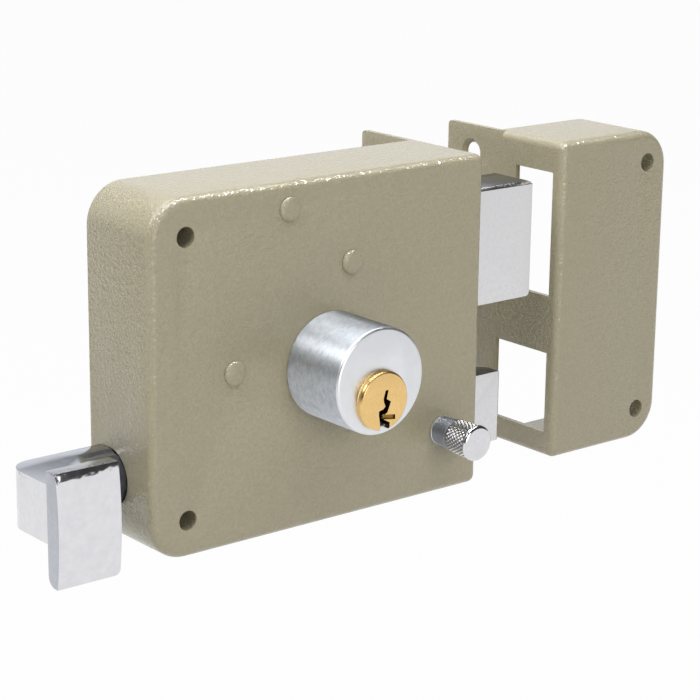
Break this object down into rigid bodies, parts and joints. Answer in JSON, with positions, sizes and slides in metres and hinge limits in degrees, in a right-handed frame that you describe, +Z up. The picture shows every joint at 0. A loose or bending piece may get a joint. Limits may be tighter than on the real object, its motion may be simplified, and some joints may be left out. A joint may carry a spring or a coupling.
{
  "type": "surface-mounted door lock",
  "caption": "Rim door lock with a key-turned dead bolt, a sprung latch worked by a finger pull, a snib knob that holds the latch, and a strike box for the frame.",
  "frame": {"origin": "the key axis where it meets the door's inner face, which is the back of the case", "axes": "+X from the case towards the strike, the way the bolts are thrown; +Y into the door; +Z up"},
  "size_m": [0.1979, 0.0688, 0.088],
  "materials": {
    "case_paint": "greenish-beige fine wrinkle paint on pressed steel",
    "plated_steel": "zinc-plated steel",
    "satin_chrome": "satin chrome plate",
    "bright_chrome": "polished chrome plate",
    "bolt_nickel": "nickel plate on ground steel",
    "brass": "turned brass",
    "spring_steel": "drawn spring wire"
  },
  "bodies": {
    "case": {"case_cover": "case_paint", "back_plate": "plated_steel", "back_plate_screws": "plated_steel", "upper_post": "case_paint", "slot_post": "case_paint", "lower_post": "case_paint", "housing_sleeve": "satin_chrome", "cylinder_core": "brass", "cylinder_nut": "plated_steel", "driver_pins": "brass", "pin_springs": "spring_steel", "latch_bracket": "plated_steel", "snib_bushing": "plated_steel", "latch_spring": "spring_steel"},
    "bolt": {"dead_bolt": "bolt_nickel", "bolt_tail": "plated_steel", "bolt_rivets": "bolt_nickel"},
    "plug": {"key_plug": "brass", "key_pins": "brass", "plug_clip": "spring_steel", "bolt_pinion": "plated_steel", "pinion_pin": "plated_steel"},
    "latch": {"latch_bolt": "bolt_nickel", "latch_bar": "plated_steel", "latch_rivets": "bolt_nickel", "finger_pull": "bright_chrome", "pull_pin": "plated_steel"},
    "snib": {"snib_knob": "bright_chrome", "snib_pin": "plated_steel", "snib_clip": "spring_steel"},
    "strike": {"strike_box": "case_paint"}
  },
  "joints": [
    {"name": "bolt_throw", "type": "slide", "parent": "case", "child": "bolt", "axis": [-1, 0, 0], "range_m": [0, 0.02136]},
    {"name": "key_turn", "type": "hinge", "parent": "case", "child": "plug", "pos_m": [0, 0, 0], "axis": [0, -1, 0], "range_deg": [0, 360]},
    {"name": "latch_slide", "type": "slide", "parent": "case", "child": "latch", "axis": [-1, 0, 0], "range_m": [0, 0.0112], "stiffness_N_per_m": 300, "springref_m": -0.012, "deforming": ["latch_spring"]},
    {"name": "snib_turn", "type": "hinge", "parent": "case", "child": "snib", "pos_m": [0.0368, 0, -0.0195], "axis": [0, -1, 0], "range_deg": [0, 90]},
    {"name": "strike_gap", "type": "slide", "parent": "case", "child": "strike", "axis": [-1, 0, 0], "range_m": [0, 0.025]}
  ],
  "couplings": [
    {"joint": "key_turn", "follows": "bolt_throw", "rad_per_m": 294.12}
  ]
}
